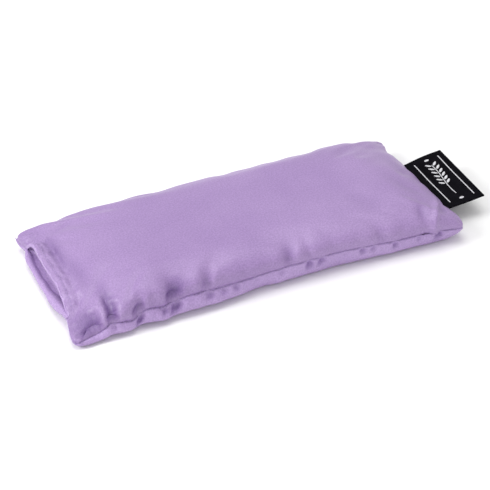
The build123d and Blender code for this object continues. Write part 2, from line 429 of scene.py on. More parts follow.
# Start, end, width and height.
TOP_FOLDS = [
    ((100.5, -48), (109.5, -35), 1.7, 1.9),
    ((109.5, -35), (113.5, -27), 1.8, 0.6),
    ((-108, 47), (-99, 45), 2.0, 0.5),
    ((-118, 46), (-111, 44), 1.0, 0.9),
    ((-117, 41.5), (-110, 41), 1.0, 0.9),
]


def filled_top(edges, span, crown, columns, rows):
    """A panel swollen up from its seams, before it is gathered, and its points' distances
    from the mouth end, the label end, the front and the back."""
    grid, (left, right, front, back) = patch(edges, span, columns, rows)
    by_front, by_back = swell(front, 40, 3.6), swell(back, 40, 3.6)
    to_back = smooth(-5, 48, grid[..., 1])
    by_mouth = swell(left, 50 + 14 * to_back, 1.35)
    by_label = swell(right, 30 + 20 * to_back, 1.75)
    rise = crown - grid[..., 2]
    grid[..., 2] += rise * by_front * by_back * by_mouth * by_label
    proud = 1.2 * swell(left, 30, 2) * swell(right, 30, 2)
    grid[..., 1] += proud * (belly(by_back) - belly(by_front))
    grid[..., 0] += belly(by_label) * by_front * by_back
    return grid, (left, right, front, back)


def filled_bottom(edges, span, floor, columns, rows):
    """A panel that lies flat where it rests, with its wall rounded up to the seams."""
    grid, (left, right, front, back) = patch(edges, span, columns, rows)
    x = grid[..., 0]
    by_front, by_back = swell(front, 5.5, 2.0), swell(back, 8, 2.0)
    by_mouth, by_label = swell(left, 7, 1.8), swell(right, 12, 1.8)
    flat = by_front * by_back * by_mouth * by_label
    grid[..., 2] += (floor - grid[..., 2]) * flat
    low_heavy = 5.4 * by_front**1.5 * (1 - by_front)
    grid[..., 1] -= through(FRONT_WALL_SWELL, x) * low_heavy
    grid[..., 1] += 1.8 * belly(by_back)
    grid[..., 0] += (belly(by_label) - 0.9 * belly(by_mouth)) * by_front * by_back
    return grid


def seam_lip(inland):
    """The cloth stands a little proud beside a seam, so that the seam lies in a groove."""
    return 0.5 * (inland / 1.1) * np.exp(1 - inland / 1.1)


def gather_top(grid, left):
    """Depth of a top panel's puckers, dents and folds, with the cloth's small unevenness."""
    x, y = grid[..., 0], grid[..., 1]
    inland_front, inland_back = run_in(grid, 1, False), run_in(grid, 1, True)
    inland_label = run_in(grid, 0, True)
    depth = gathered(x, inland_front, FRONT_PUCKERS)
    depth += gathered(x, inland_front, scattered_puckers(-116, 116, 5.5, 6, 0.3, SEED + 8))
    depth += gathered(x, inland_back, scattered_puckers(-112, 112, 34, 26, 0.6, SEED + 3))
    depth += gathered(y, inland_label, scattered_puckers(-44, 46, 11, 12, 0.7, SEED + 4))
    body = smooth(2, 20, np.minimum(inland_front, inland_back)) * smooth(2, 25, left)
    depth += 0.30 * lumps(x, y, 46, SEED + 5) * body
    depth += 0.12 * lumps(x, y, 19, SEED + 6) * body
    for middle, size, turn, deep in TOP_DENTS:
        depth += deep * dent(x, y, middle, size, turn)
    for start, end, width, height in TOP_FOLDS:
        depth -= height * ridge(x, y, start, end, width)
    return depth, np.minimum(np.minimum(inland_front, inland_back), inland_label)


# ---- the cloth let go under the filling's pressure ----
CLOTH_SCALE = 10.0  # the cloth is worked at ten times its size, where the solver is steady
CLOTH_STEP = 2.1  # millimetres between its points
CLOTH_FRAMES = 16
CLOTH_SLACK = 0.045  # share by which it grows beside the seams
CLOTH_PRESSURE = 0.6
CLOTH_CAP = 1.0  # no point moves more millimetres than this


def evenly(grid, axis, step):
    """Fractional places along a grid's axis that are evenly spaced over the cloth."""
    steps = np.linalg.norm(np.diff(grid, axis=axis), axis=-1).mean(1 - axis)
    run = np.concatenate([[0], np.cumsum(steps)])
    count = max(int(run[-1] / step), 8)
    return np.interp(np.linspace(0, run[-1], count + 1), run, np.arange(len(run)))


def sampled(grid, rows, columns):
    """The grid read at fractional places."""
    i0 = np.clip(rows.astype(int), 0, grid.shape[0] - 2)
    j0 = np.clip(columns.astype(int), 0, grid.shape[1] - 2)
    u, v = (rows - i0)[:, None, None], (columns - j0)[None, :, None]
    a, b = grid[i0][:, j0], grid[i0][:, j0 + 1]
    c, d = grid[i0 + 1][:, j0], grid[i0 + 1][:, j0 + 1]
    return (1 - u) * (1 - v) * a + (1 - u) * v * b + u * (1 - v) * c + u * v * d


def inverse_places(places, count):
    """Where each whole place of the grid lies among the even ones."""
    return np.interp(np.arange(count), places, np.arange(len(places)))


def let_go(grid):
    """The cloth held along its edges and let go on its filling, so that the fullness beside
    the seams falls into small wrinkles. It stays calm towards the label and the back."""
    rows, columns = evenly(grid, 0, CLOTH_STEP), evenly(grid, 1, CLOTH_STEP)
    even = sampled(grid, rows, columns)
    mesh = bpy.data.meshes.new("cloth at work")
    points = even.reshape(-1, 3) * MM * CLOTH_SCALE
    faces = grid_faces(even.shape[0] - 1, even.shape[1] - 1)
    mesh.from_pydata(points.tolist(), [], faces)
    piece = bpy.data.objects.new("cloth at work", mesh)
    bpy.context.scene.collection.objects.link(piece)
    inland = np.minimum(
        np.minimum(run_in(even, 0, False), run_in(even, 0, True)),
        np.minimum(run_in(even, 1, False), run_in(even, 1, True)),
    ).ravel()
    held = piece.vertex_groups.new(name="held")
    taut = piece.vertex_groups.new(name="taut")
    calm = np.maximum(0.75 * smooth(-45, -15, even[..., 0]), smooth(-5, 20, even[..., 1]))
    calm = np.maximum(calm.ravel(), smooth(5, 24, inland))
    for k, distance in enumerate(inland):
        if distance < 0.8 * CLOTH_STEP:
            held.add([k], 1.0, "REPLACE")
        taut.add([k], float(calm[k]), "REPLACE")
    work = piece.modifiers.new("cloth", "CLOTH")
    cloth = work.settings
    cloth.quality = 6
    cloth.mass = 0.15
    cloth.tension_stiffness = cloth.compression_stiffness = 20.0
    cloth.shear_stiffness = 5.0
    cloth.bending_stiffness = 0.4
    cloth.vertex_group_mass = "held"
    cloth.vertex_group_shrink = "taut"
    cloth.shrink_min, cloth.shrink_max = -CLOTH_SLACK, 0.0
    cloth.use_pressure = True
    cloth.uniform_pressure_force = CLOTH_PRESSURE
    cloth.effector_weights.gravity = 0.0
    work.collision_settings.use_collision = False
    work.point_cache.frame_start, work.point_cache.frame_end = 1, CLOTH_FRAMES
    scene = bpy.context.scene
    for frame_number in range(1, CLOTH_FRAMES + 1):
        scene.frame_set(frame_number)
    ready = piece.evaluated_get(bpy.context.evaluated_depsgraph_get())
    moved = np.array([v.co for v in ready.data.vertices], float).reshape(even.shape)
    scene.frame_set(1)
    bpy.data.objects.remove(piece)
    move = moved / (MM * CLOTH_SCALE) - even
    far = np.linalg.norm(move, axis=-1, keepdims=True)
    move *= CLOTH_CAP * np.tanh(far / CLOTH_CAP) / np.maximum(far, 1e-9)
    back = (inverse_places(rows, grid.shape[0]), inverse_places(columns, grid.shape[1]))
    return grid + sampled(move, *back)


def sewn_down(y, inland):
    """0 on the short edge's sewn corners, 1 away from them and all along the mouth."""
    open_part = along_mouth(y, (-1, 4), (1, -4))
    return open_part + (1 - open_part) * smooth(0, 2.5, inland)


def cover_top():
    """The top panel's places, and how far each lies down in a fold, which sets the painted shade
    there.
    """
    edges = (front_seam, back_seam, lambda y: mouth_end(y, 1), label_end_seam)
    grid, (left, *_) = filled_top(edges, COVER_SPAN, CROWN - COVER_DROP, COLUMNS, ROWS)
    depth, to_seam = gather_top(grid, left)
    # painted shade: the satin is drawn darker where this is high, down in the folds
    fold = np.clip(depth / TOP_FOLD_SHADE_DEPTH, 0, 1)
    depth -= seam_lip(to_seam)
    y, hem = grid[..., 1], run_in(grid, 0, False)
    draws = scattered_puckers(MOUTH_LOW - 4, MOUTH_HIGH + 2, 7.0, 6, 0.5, SEED + 9)
    uneven = 1 + 0.6 * waves(y, (7.3, 11.9, 5.1), SEED + 10)
    scallops = np.clip(waves(y, (6.1, 9.7, 14.3), SEED + 16) * 2.2, -0.4, 1)
    strip = 0.6 * band(hem, HEM_STITCH_INLAND, 0.9)  # the stitches' groove
    strip += uneven * (1.9 * band(hem, 8.2, 2.6) - 1.5 * band(hem, 1.8, 1.9))
    strip += gathered(y, np.maximum(hem - 3.5, 0), draws) - 1.7 * scallops * band(hem, 5.2, 1.4)
    depth += along_mouth(y, (-8, 6), (4, -6)) * strip
    depth *= sewn_down(y, hem)
    grid -= grid_normals(grid) * depth[..., None]
    return let_go(grid), fold


def cover_bottom():
    """The bottom panel's places, and how far each lies down in a fold, which sets the painted
    shade there.
    """
    edges = (front_seam, back_seam, lambda y: mouth_end(y, -1), label_end_seam)
    grid = filled_bottom(edges, COVER_SPAN, 0, COLUMNS, ROWS)
    x = grid[..., 0]
    inland_front, inland_back = run_in(grid, 1, False), run_in(grid, 1, True)
    depth = gathered(x, inland_front, FRONT_UNDER_PUCKERS, 0.9)
    depth += gathered(x, inland_front, scattered_puckers(-116, 116, 4.5, 5, 0.5, SEED + 11))
    depth += gathered(x, inland_back, scattered_puckers(-112, 112, 11, 8, 0.8, SEED + 7))
    # painted shade: the satin is drawn darker where this is high, down in the folds
    fold = np.clip(depth / BOTTOM_FOLD_SHADE_DEPTH, 0, 1)
    to_seam = np.minimum(np.minimum(inland_front, inland_back), run_in(grid, 0, True))
    depth -= seam_lip(to_seam)
    y, lip = grid[..., 1], run_in(grid, 0, False)
    rolled = 0.8 + 0.3 * waves(y, (17, 29, 9), SEED + 12)
    depth -= along_mouth(y, (-6, 6), (4, -6)) * rolled * band(lip, 1.6, 1.4)
    depth *= sewn_down(y, lip)
    grid += grid_normals(grid) * depth[..., None]
    grid[..., 2] = np.maximum(grid[..., 2], 0)
    return grid, fold


def kept_under(grid, skin, room):
    """The grid lowered wherever it comes closer than room to the underside of a skin."""
    faces = grid_faces(skin.shape[0] - 1, skin.shape[1] - 1)
    tree = BVHTree.FromPolygons(skin.reshape(-1, 3).tolist(), faces)
    points = grid.reshape(-1, 3).copy()
    below, lowest = -5, 0.8
    for point in points:
        under, *_ = tree.ray_cast(Vector((point[0], point[1], below)), Vector((0, 0, 1)))
        if under is not None:
            point[2] = max(min(point[2], under.z - room), lowest)
    return points.reshape(grid.shape)


def insert_surfaces(cover):
    """The calico bag's top and bottom, just inside the cover and gathered as it is."""
    edges = (insert_front, insert_back, insert_mouth_end, insert_label_end)
    top, (left, *_) = filled_top(
        edges, INSERT_SPAN, CROWN - INSERT_DROP, INSERT_COLUMNS, INSERT_ROWS,
    )
    depth, to_seam = gather_top(top, left)
    inland = run_in(top, 0, False)
    depth += gathered(top[..., 1], inland, scattered_puckers(-44, 46, 9, 12, 0.9, SEED + 13))
    top -= grid_normals(top) * (depth - seam_lip(np.minimum(to_seam, inland)))[..., None]
    top = kept_under(let_go(top), cover, TOP_ROOM)
    bottom = filled_bottom(edges, INSERT_SPAN, INSERT_FLOOR, INSERT_COLUMNS, INSERT_ROWS)
    x = bottom[..., 0]
    inland_front, inland_back = run_in(bottom, 1, False), run_in(bottom, 1, True)
    depth = gathered(x, inland_front, FRONT_UNDER_PUCKERS, 0.9)
    depth += gathered(x, inland_back, scattered_puckers(-104, 110, 11, 8, 0.8, SEED + 7))
    bottom += grid_normals(bottom) * depth[..., None]
    bottom[..., 1] += 0.5 * (1 - smooth(0, 6, inland_front))
    bottom[..., 2] = np.maximum(bottom[..., 2], INSERT_FLOOR)
    bottom = kept_under(bottom, cover, BOTTOM_ROOM)
    for edge in (np.s_[0], np.s_[-1], np.s_[:, 0], np.s_[:, -1]):
        joined = bottom[edge].copy()
        joined[..., 2] = np.minimum(top[edge][..., 2], bottom[edge][..., 2])
        top[edge] = bottom[edge] = joined
    return top, bottom


# ---- meshes ----
def new_piece(name, points, faces, material, edges=()):
    """A mesh of places in millimetres, smooth all over."""
    mesh = bpy.data.meshes.new(name)
    mesh.from_pydata((np.asarray(points) * MM).tolist(), list(edges), faces)
    mesh.update()
    piece = bpy.data.objects.new(name, mesh)
    bpy.context.scene.collection.objects.link(piece)
    piece.data.materials.append(material)
    for face in mesh.polygons:
        face.use_smooth = True
    return piece


def grid_faces(columns, rows, flip=False):
    """Four-sided faces between neighbouring places of a grid."""
    faces = []
    for i in range(columns):
        for j in range(rows):
            a = i * (rows + 1) + j
            quad = (a, a + rows + 1, a + rows + 2, a + 1)
            faces.append(quad[::-1] if flip else quad)
    return faces


def point_map(piece, name, values):
    """A UV layer that holds two values for each point of the piece."""
    layer = piece.data.uv_layers.new(name=name)
    corners = np.empty(len(piece.data.loops), int)
    piece.data.loops.foreach_get("vertex_index", corners)
    layer.data.foreach_set("uv", values[corners].astype(np.float32).ravel())


def fold_shade_map(piece, fold):
    """How far each point lies down in a fold, from 0 to 1, where the satin is painted darker:
    painted shade in its folds.
    """
    point_map(piece, "fold", np.stack([fold, 0 * fold], -1).reshape(-1, 2))


def cloth_map(piece, grid):
    """A UV map in metres of cloth, straight along the piece's threads, so that the weave
    keeps its size on every piece."""
    along = run_in(grid, 0, False).mean(1, keepdims=True)
    across = run_in(grid, 1, False).mean(0, keepdims=True)
    flat = np.broadcast_arrays(along, across)
    point_map(piece, "cloth", np.stack(flat, -1).reshape(-1, 2) * MM)


def made_plain(piece):
    """The piece's modifiers, worked into its mesh."""
    ready = piece.evaluated_get(bpy.context.evaluated_depsgraph_get())
    mesh = bpy.data.meshes.new_from_object(ready)
    piece.modifiers.clear()
    piece.data = mesh
    for face in mesh.polygons:
        face.use_smooth = True
    return piece


def cloth_piece(name, grid, material, wall, offset=-1, flip=False, levels=1, fold=None):
    """A grid of places as cloth of a real thickness. Offset is -1 where the grid is the
    outside of the cloth, and 0 where it is its middle. Fold, where given, sets how dark the
    cloth is painted in its folds: painted shade."""
    faces = grid_faces(grid.shape[0] - 1, grid.shape[1] - 1, flip)
    piece = new_piece(name, grid.reshape(-1, 3), faces, material)
    cloth_map(piece, grid)
    if fold is not None:
        fold_shade_map(piece, fold)
    if levels:
        soften = piece.modifiers.new("finer", "SUBSURF")
        soften.levels = soften.render_levels = levels
        soften.boundary_smooth = "PRESERVE_CORNERS"
    thick = piece.modifiers.new("cloth thickness", "SOLIDIFY")
    thick.thickness = wall * MM
    thick.offset = offset
    thick.use_even_offset = False
    return made_plain(piece)


def stands_for(node_name):
    """Hides the CAD node whose place a piece takes."""
    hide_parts(node_name)


# ---- what repeats: stitches, yarn and seeds ----
def tree_with(name, sizes):
    """An empty geometry tree with named inputs."""
    tree = bpy.data.node_groups.new(name, "GeometryNodeTree")
    face = tree.interface
    face.new_socket("Geometry", in_out="INPUT", socket_type="NodeSocketGeometry")
    for socket, kind, value in sizes:
        made = face.new_socket(socket, in_out="INPUT", socket_type=kind)
        if value is not None:
            made.default_value = value
    face.new_socket("Geometry", in_out="OUTPUT", socket_type="NodeSocketGeometry")
    return tree, tree.nodes.new("NodeGroupInput"), tree.nodes.new("NodeGroupOutput")


def wired(tree, *links):
    """Links between nodes, each given as node, output, node, input."""
    for source, output, target, socket in links:
        tree.links.new(source.outputs[output], target.inputs[socket])


def small_bead(tree, segments, rings):
    """A low round bead of radius 1, to be drawn out into a stitch or a seed."""
    bead = tree.nodes.new("GeometryNodeMeshUVSphere")
    bead.inputs["Segments"].default_value = segments
    bead.inputs["Rings"].default_value = rings
    bead.inputs["Radius"].default_value = 1.0
    return bead


def close_tree(tree, given, out, copies):
    """The copies made real, shaded smooth and given their material."""
    realize = tree.nodes.new("GeometryNodeRealizeInstances")
    shade = tree.nodes.new("GeometryNodeSetShadeSmooth")
    finish = tree.nodes.new("GeometryNodeSetMaterial")
    wired(
        tree,
        (copies, "Instances", realize, "Geometry"),
        (realize, "Geometry", shade, "Geometry"),
        (shade, "Geometry", finish, "Geometry"),
        (given, "Material", finish, "Material"),
        (finish, "Geometry", out, "Geometry"),
    )


def stitch_tree():
    """Beads laid end to end or side by side along a line, each drawn out along its lay."""
    tree, given, out = tree_with("row of stitches", [
        ("Pitch", "NodeSocketFloat", 0.003),
        ("Stitch Length", "NodeSocketFloat", 0.002),
        ("Thread Radius", "NodeSocketFloat", 0.00015),
        ("Material", "NodeSocketMaterial", None),
    ])
    line = tree.nodes.new("GeometryNodeMeshToCurve")
    spaced = tree.nodes.new("GeometryNodeResampleCurve")
    spaced.mode = "LENGTH"
    lay = tree.nodes.new("GeometryNodeInputNamedAttribute")
    lay.data_type = "FLOAT_VECTOR"
    lay.inputs["Name"].default_value = "lay"
    share = tree.nodes.new("GeometryNodeInputNamedAttribute")
    share.data_type = "FLOAT"
    share.inputs["Name"].default_value = "share"
    half = tree.nodes.new("ShaderNodeMath")
    half.operation = "MULTIPLY"
    half.inputs[1].default_value = 0.5
    sized = tree.nodes.new("ShaderNodeMath")
    sized.operation = "MULTIPLY"
    size = tree.nodes.new("ShaderNodeCombineXYZ")
    turn = tree.nodes.new("FunctionNodeAlignRotationToVector")
    turn.axis = "X"
    copies = tree.nodes.new("GeometryNodeInstanceOnPoints")
    bead = small_bead(tree, 6, 5)
    wired(
        tree,
        (given, "Geometry", line, "Mesh"),
        (line, "Curve", spaced, "Curve"),
        (given, "Pitch", spaced, "Length"),
        (given, "Stitch Length", half, 0),
        (half, "Value", sized, 0),
        (share, "Attribute", sized, 1),
        (sized, "Value", size, "X"),
        (given, "Thread Radius", size, "Y"),
        (given, "Thread Radius", size, "Z"),
        (lay, "Attribute", turn, "Vector"),
        (spaced, "Curve", copies, "Points"),
        (bead, "Mesh", copies, "Instance"),
        (turn, "Rotation", copies, "Rotation"),
        (size, "Vector", copies, "Scale"),
    )
    close_tree(tree, given, out, copies)
    return tree


def seed_tree():
    """Flax seeds strewn over a surface, flat on it and turned any way."""
    tree, given, out = tree_with("strewn seeds", [
        ("Density", "NodeSocketFloat", 62000.0),
        ("Seed", "NodeSocketInt", SEED),
        ("Seed Length", "NodeSocketFloat", 0.0044),
        ("Seed Width", "NodeSocketFloat", 0.0023),
        ("Seed Thickness", "NodeSocketFloat", 0.0007),
        ("Material", "NodeSocketMaterial", None),
    ])
    strewn = tree.nodes.new("GeometryNodeDistributePointsOnFaces")
    spin = tree.nodes.new("FunctionNodeRandomValue")
    spin.data_type = "FLOAT_VECTOR"
    spin.inputs["Min"].default_value = (-0.25, -0.25, 0)
    spin.inputs["Max"].default_value = (0.25, 0.25, 2 * math.pi)
    turn = tree.nodes.new("FunctionNodeRotateRotation")
    turn.rotation_space = "LOCAL"
    size = tree.nodes.new("ShaderNodeCombineXYZ")
    halves = tree.nodes.new("ShaderNodeVectorMath")
    halves.operation = "SCALE"
    halves.inputs["Scale"].default_value = 0.5
    copies = tree.nodes.new("GeometryNodeInstanceOnPoints")
    bead = small_bead(tree, 6, 4)
    wired(
        tree,
        (given, "Geometry", strewn, "Mesh"),
        (given, "Density", strewn, "Density"),
        (given, "Seed", strewn, "Seed"),
        (given, "Seed", spin, "Seed"),
        (strewn, "Rotation", turn, "Rotation"),
        (spin, "Value", turn, "Rotate By"),
        (given, "Seed Length", size, "X"),
        (given, "Seed Width", size, "Y"),
        (given, "Seed Thickness", size, "Z"),
        (size, "Vector", halves, 0),
        (strewn, "Points", copies, "Points"),
        (bead, "Mesh", copies, "Instance"),
        (turn, "Rotation", copies, "Rotation"),
        (halves, "Vector", copies, "Scale"),
    )
    close_tree(tree, given, out, copies)
    return tree


def grown(piece, tree, values):
    """The piece replaced by what the tree grows from it, as a plain mesh."""
    grow = piece.modifiers.new("grow", "NODES")
    grow.node_group = tree
    for item in tree.interface.items_tree:
        if item.in_out == "INPUT" and item.name in values:
            grow[item.identifier] = values[item.name]
    return made_plain(piece)


def stitched(name, lines, pitch, length, material, lays=None, shares=None):
    """Rows of stitches along lines in millimetres. Each stitch points along its line, or
    along its lay where that is given, and is as long as its share of length."""
    points = np.concatenate(lines)
    edges, first = [], 0
    for line in lines:
        edges += [(first + k, first + k + 1) for k in range(len(line) - 1)]
        first += len(line)
    if lays is None:
        lays = [np.gradient(line, axis=0) for line in lines]
    if shares is None:
        shares = [np.ones(len(line)) for line in lines]
    piece = new_piece(name, points, [], material, edges)
    for attribute, kind, values in (
        ("lay", "FLOAT_VECTOR", np.concatenate(lays)),
        ("share", "FLOAT", np.concatenate(shares)),
    ):
        layer = piece.data.attributes.new(attribute, kind, "POINT")
        slot = "vector" if kind == "FLOAT_VECTOR" else "value"
        layer.data.foreach_set(slot, np.asarray(values, np.float32).ravel())
    return grown(piece, STITCHES, {
        "Pitch": pitch * MM, "Stitch Length": length * MM,
        "Thread Radius": THREAD * MM / 2, "Material": material,
    })


# ---- materials ----
def node(tree, kind, **inputs):
    """A shader node with some of its inputs set."""
    made = tree.nodes.new(kind)
    for name, value in inputs.items():
        made.inputs[name.replace("_", " ")].default_value = value
    return made


def new_material(name, **shader_values):
    """A material, its tree and its main shader, with constants set on the shader itself."""
    material = bpy.data.materials.new(name)
    material.use_nodes = True
    tree = material.node_tree
    shader = tree.nodes["Principled BSDF"]
    for socket, value in shader_values.items():
        shader.inputs[socket.replace("_", " ")].default_value = value
    return material, tree, shader


def drawn_on(tree, place, kind, bands=None, **inputs):
    """A pattern drawn on the places that place gives."""
    made = node(tree, kind, **inputs)
    if bands is not None:
        made.bands_direction = bands
    tree.links.new(place, made.inputs["Vector"])
    return made.outputs["Fac"]


def on_object(tree):
    return tree.nodes.new("ShaderNodeTexCoord").outputs["Object"]


def on_map(tree, name):
    layer = tree.nodes.new("ShaderNodeUVMap")
    layer.uv_map = name
    return layer.outputs["UV"]


def ramp(tree, source, stops):
    """Colours from dark to light, at two places along the source's range."""
    colours = tree.nodes.new("ShaderNodeValToRGB")
    for element, (place, colour) in zip(colours.color_ramp.elements, stops):
        element.position = place
        element.color = (*colour, 1)
    tree.links.new(source, colours.inputs["Fac"])
    return colours.outputs["Color"]


def bump(tree, shader, source, strength, distance, under=None):
    """Fine relief from a pattern, laid over the relief under it."""
    raised = node(tree, "ShaderNodeBump", Strength=strength, Distance=distance)
    tree.links.new(source, raised.inputs["Height"])
    if under is not None:
        tree.links.new(under.outputs["Normal"], raised.inputs["Normal"])
    tree.links.new(raised.outputs["Normal"], shader.inputs["Normal"])
    return raised


def tinted(tree, colour, tint):
    """One colour multiplied by another."""
    mix = tree.nodes.new("ShaderNodeMix")
    mix.data_type = "RGBA"
    mix.blend_type = "MULTIPLY"
    mix.inputs["Factor"].default_value = 1.0
    tree.links.new(colour, mix.inputs[6])  # the colour sockets come after the number ones
    tree.links.new(tint, mix.inputs[7])
    return mix.outputs[2]


def satin_material(name, dark, light):
    """Lavender satin: long floats with a soft sheen, uneven yarn and faint streaks, and painted
    shade darkening it in its folds.
    """
    material, tree, shader = new_material(
        name, Roughness=0.42, Specular_IOR_Level=0.55, Sheen_Weight=0.05,
        Sheen_Roughness=0.4, Sheen_Tint=(0.88, 0.78, 1.0, 1), Anisotropic=0.4,
    )
    cloth = on_map(tree, "cloth")
    along_yarns = tree.nodes.new("ShaderNodeMapping")
    along_yarns.inputs["Scale"].default_value = (800, 330, 1)
    tree.links.new(cloth, along_yarns.inputs["Vector"])
    patches = drawn_on(
        tree, on_object(tree), "ShaderNodeTexNoise", Scale=22.0, Detail=4.0, Roughness=0.55,
    )
    streaks = drawn_on(
        tree, along_yarns.outputs["Vector"], "ShaderNodeTexNoise", Scale=1.0, Detail=3.0,
    )
    mottle = drawn_on(tree, cloth, "ShaderNodeTexNoise", Scale=1100.0, Detail=2.0)
    slubs = drawn_on(tree, cloth, "ShaderNodeTexNoise", Scale=1400.0, Detail=1.0)
    floats = drawn_on(
        tree, cloth, "ShaderNodeTexWave", "DIAGONAL", Scale=1500.0, Distortion=0.1, Detail=1.0,
    )
    # painted shade: the fold map darkens the colour down in the valleys of the puckers
    fold_shade = tree.nodes.new("ShaderNodeSeparateXYZ")
    tree.links.new(on_map(tree, "fold"), fold_shade.inputs["Vector"])
    dyed = ramp(tree, patches, [(0.3, dark), (0.7, light)])
    for source, stops in (
        (streaks, [(0.3, (0.97, 0.965, 0.975)), (0.7, (1.02, 1.02, 1.02))]),
        (fold_shade.outputs["X"], [(0.08, (1, 1, 1)), (0.85, (0.56, 0.49, 0.65))]),
        (mottle, [(0.3, (0.83, 0.83, 0.86)), (0.7, (1.17, 1.17, 1.15))]),
    ):
        dyed = tinted(tree, dyed, ramp(tree, source, stops))
    tree.links.new(dyed, shader.inputs["Base Color"])
    weave = bump(tree, shader, floats, 0.10, 0.00006)
    uneven = bump(tree, shader, slubs, 0.12, 0.00012, weave)
    bump(tree, shader, streaks, 0.08, 0.0002, uneven)
    return material


def thread_material(name, colour, darker):
    """Twisted thread: slanted plies, a little fuzz."""
    material, tree, shader = new_material(
        name, Roughness=0.55, Sheen_Weight=0.3, Sheen_Roughness=0.5,
    )
    twist = drawn_on(
        tree, on_object(tree), "ShaderNodeTexWave", "DIAGONAL",
        Scale=1500.0, Distortion=1.0, Detail=1.0,
    )
    dyed = ramp(tree, twist, [(0.2, darker), (0.8, colour)])
    tree.links.new(dyed, shader.inputs["Base Color"])
    bump(tree, shader, twist, 0.4, 0.0001)
    return material


def calico_material():
    """Unbleached cotton calico: plain weave, uneven yarns and small brown flecks."""
    material, tree, shader = new_material(
        "unbleached calico", Roughness=0.85, Specular_IOR_Level=0.25, Sheen_Weight=0.25,
        Sheen_Roughness=0.6,
    )
    cloth = on_map(tree, "cloth")
    woven = tree.nodes.new("ShaderNodeMath")
    woven.operation = "MULTIPLY"
    for socket, bands in enumerate("XY"):
        yarns = drawn_on(
            tree, cloth, "ShaderNodeTexWave", bands, Scale=320.0, Distortion=1.2, Detail=2.0,
        )
        tree.links.new(yarns, woven.inputs[socket])
    patches = drawn_on(tree, cloth, "ShaderNodeTexNoise", Scale=60.0, Detail=5.0)
    flecks = drawn_on(tree, cloth, "ShaderNodeTexNoise", Scale=420.0, Detail=1.0)
    base = ramp(tree, patches, [(0.3, (0.62, 0.53, 0.39)), (0.7, (0.74, 0.66, 0.51))])
    flecked = ramp(tree, flecks, [(0.24, (0.45, 0.33, 0.22)), (0.30, (1.0, 1.0, 1.0))])
    tree.links.new(tinted(tree, base, flecked), shader.inputs["Base Color"])
    bump(tree, shader, woven.outputs["Value"], 0.6, 0.0002)
    return material


def damask_material():
    """Black woven ribbon: fine ribs along the label, with a dull shine."""
    material, tree, shader = new_material(
        "black damask", Roughness=0.7, Specular_IOR_Level=0.04, Anisotropic=0.3,
    )
    cloth = on_map(tree, "cloth")
    ribs = drawn_on(
        tree, cloth, "ShaderNodeTexWave", "Y", Scale=620.0, Distortion=0.6, Detail=1.0,
    )
    picks = drawn_on(
        tree, cloth, "ShaderNodeTexWave", "X", Scale=900.0, Distortion=0.5, Detail=1.0,
    )
    worn = drawn_on(tree, cloth, "ShaderNodeTexNoise", Scale=180.0, Detail=4.0)
    dyed = ramp(tree, worn, [
        (0.3, (0.0018, 0.0015, 0.0030)), (0.75, (0.0050, 0.0045, 0.0072)),
    ])
    tree.links.new(dyed, shader.inputs["Base Color"])
    under = bump(tree, shader, picks, 0.3, 0.0001)
    bump(tree, shader, ribs, 0.5, 0.00015, under)
    return material


def seed_material():
    """Brown flax seed, glossy, with every seed a slightly different brown."""
    material, tree, shader = new_material(
        "flax seed", Roughness=0.28, Specular_IOR_Level=0.5, Coat_Weight=0.2,
    )
    kinds = drawn_on(tree, on_object(tree), "ShaderNodeTexNoise", Scale=420.0, Detail=2.0)
    browns = ramp(tree, kinds, [(0.3, (0.085, 0.032, 0.012)), (0.7, (0.24, 0.115, 0.045))])
    tree.links.new(browns, shader.inputs["Base Color"])
    bump(tree, shader, kinds, 0.2, 0.0003)
    return material


def table_material():
    material, _, shader = new_material("white table", Roughness=0.7)
    shader.inputs["Base Color"].default_value = (0.95, 0.95, 0.95, 1)
    return material


STITCHES = stitch_tree()
SEEDS = seed_tree()
SATIN_CLOTH = satin_material("lavender satin", (0.308, 0.200, 0.425), (0.356, 0.240, 0.473))
PAINTED_LIGHT_SATIN = satin_material(
    "lavender satin painted lighter", (0.382, 0.258, 0.515), (0.432, 0.300, 0.565),
)  # a lighter copy of the same satin: painted light, for the bottom panel, the hem roll and the flap
CALICO_CLOTH = calico_material()
DAMASK = damask_material()
COVER_THREAD = thread_material("lavender thread", (0.50, 0.37, 0.68), (0.30, 0.20, 0.46))
INSERT_THREAD = thread_material("unbleached thread", (0.80, 0.74, 0.62), (0.52, 0.46, 0.36))
LABEL_YARN = thread_material("white yarn", (0.86, 0.86, 0.88), (0.62, 0.62, 0.66))
SEED_SKIN = seed_material()


def sinks(piece):
    """The piece with its place worked into its mesh."""
    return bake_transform(piece)


# ---- satin cover ----
def make_cover():
    """The two satin panels. Returns their places, for what is sewn to them."""
    (top_grid, top_fold_shade), (bottom_grid, bottom_fold_shade) = cover_top(), cover_bottom()
    # the fold values carry painted shade, darker down in the folds
    top = cloth_piece("satin_top_panel", top_grid, SATIN_CLOTH, SATIN, fold=top_fold_shade)
    # the bottom panel wears the lighter satin copy: painted light
    bottom = cloth_piece(
        "satin_bottom_panel", bottom_grid, PAINTED_LIGHT_SATIN, SATIN, flip=True, fold=bottom_fold_shade,
    )
    for panel, node_name in ((top, "cover_top_panel"), (bottom, "cover_bottom_panel")):
        stands_for(node_name)
        sinks(panel)
    return top_grid, bottom_grid


# Places round the rolled hem and along its turning: inland from the edge, and lift off
# the top panel's outside.
HEM_ROLL = [
    (1.6, 0.04), (0.8, 0.10), (0.1, 0.05), (-0.32, -0.25), (-0.38, -0.6),
    (0.0, -0.95), (0.9, -1.05), (2.5, -1.05), (4.5, -1.05), (7.5, -1.05),
]
HEM_WALL = 0.3


